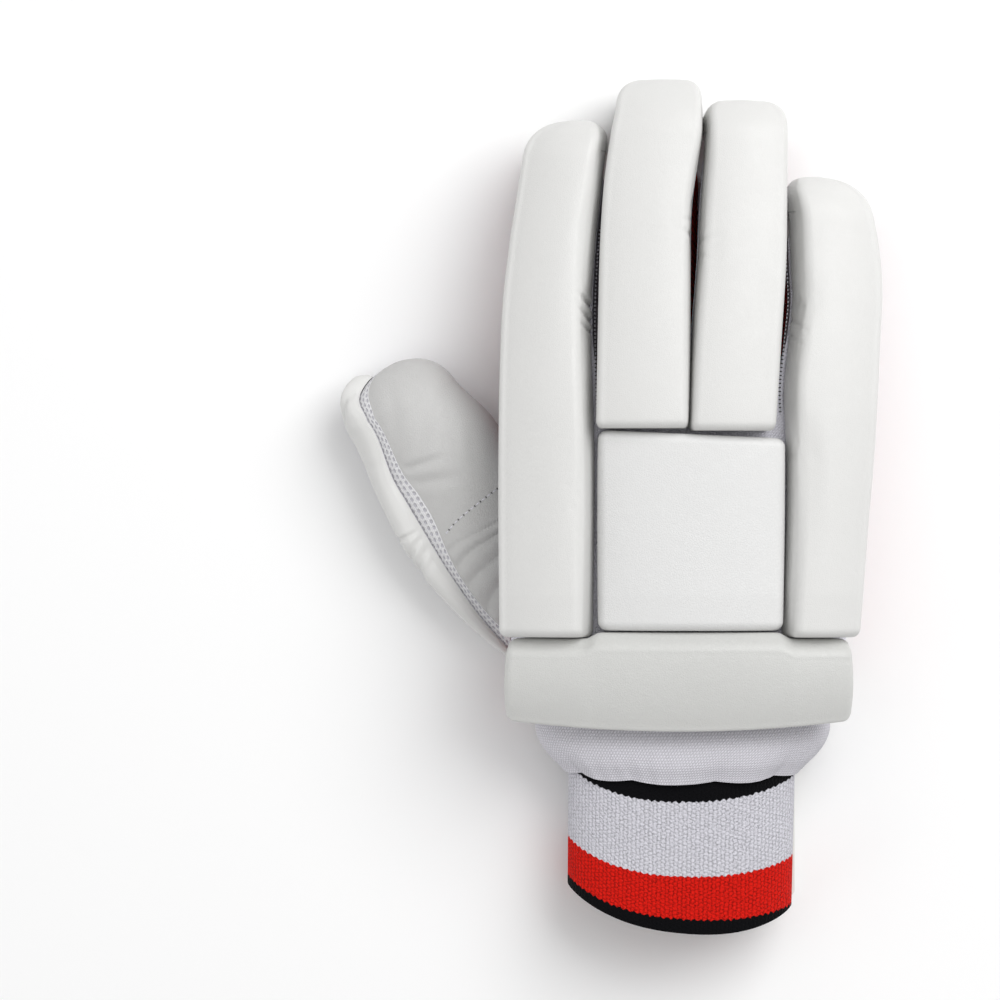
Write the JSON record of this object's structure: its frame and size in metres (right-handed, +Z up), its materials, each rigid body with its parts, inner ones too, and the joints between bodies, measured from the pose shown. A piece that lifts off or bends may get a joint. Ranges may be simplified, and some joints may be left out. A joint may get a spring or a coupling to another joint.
{
  "type": "cricket batting glove",
  "caption": "Right-hand batting glove lying on its palm: padded rolls over the fingers, mesh and tape side walls, leather palm, padded thumb, striped knitted wristband and strap.",
  "frame": {"origin": "on the surface it rests on, under the middle of its box", "axes": "+Y points along the fingers, +Z up out of the padded back, the thumb lies towards -X"},
  "size_m": [0.1836, 0.2918, 0.0598],
  "materials": {
    "pad_leather": "smooth coated off-white leather with a fine grain",
    "palm_leather": "soft matt white leather with cross creases",
    "thumb_leather": "soft greyish-white leather",
    "strap_leather": "coated white leather with an edge stitch",
    "red_mesh": "open knitted red mesh",
    "striped_tape": "white elastic tape with black edges",
    "binding_cloth": "cool white woven binding",
    "woven_lining": "white cloth with a fine diagonal weave",
    "white_mesh": "white air mesh with staggered round holes",
    "striped_knit": "thick ribbed knit in black, white, red and black stripes",
    "hook_cloth": "hook and loop cloth"
  },
  "bodies": {
    "root": {"index_pad": "pad_leather", "middle_pad": "pad_leather", "ring_pad": "pad_leather", "little_pad": "pad_leather", "back_pad": "pad_leather", "cuff_bar": "pad_leather", "thumb_pad": "pad_leather", "index_gusset": "red_mesh", "middle_gusset": "red_mesh", "ring_gusset": "red_mesh", "little_gusset": "red_mesh", "index_tape": "striped_tape", "middle_tape": "striped_tape", "ring_tape": "striped_tape", "little_tape": "striped_tape", "index_binding": "binding_cloth", "middle_binding": "binding_cloth", "ring_binding": "binding_cloth", "little_binding": "binding_cloth", "back_panel": "woven_lining", "palm_leather": "palm_leather", "thumb_mesh": "white_mesh", "thumb_leather": "thumb_leather", "thumb_trim": "binding_cloth", "thumb_web": "thumb_leather", "skirt": "woven_lining", "wristband": "striped_knit", "strap": "strap_leather", "strap_hook": "hook_cloth", "vent_edging": "strap_leather"}
  },
  "joints": []
}
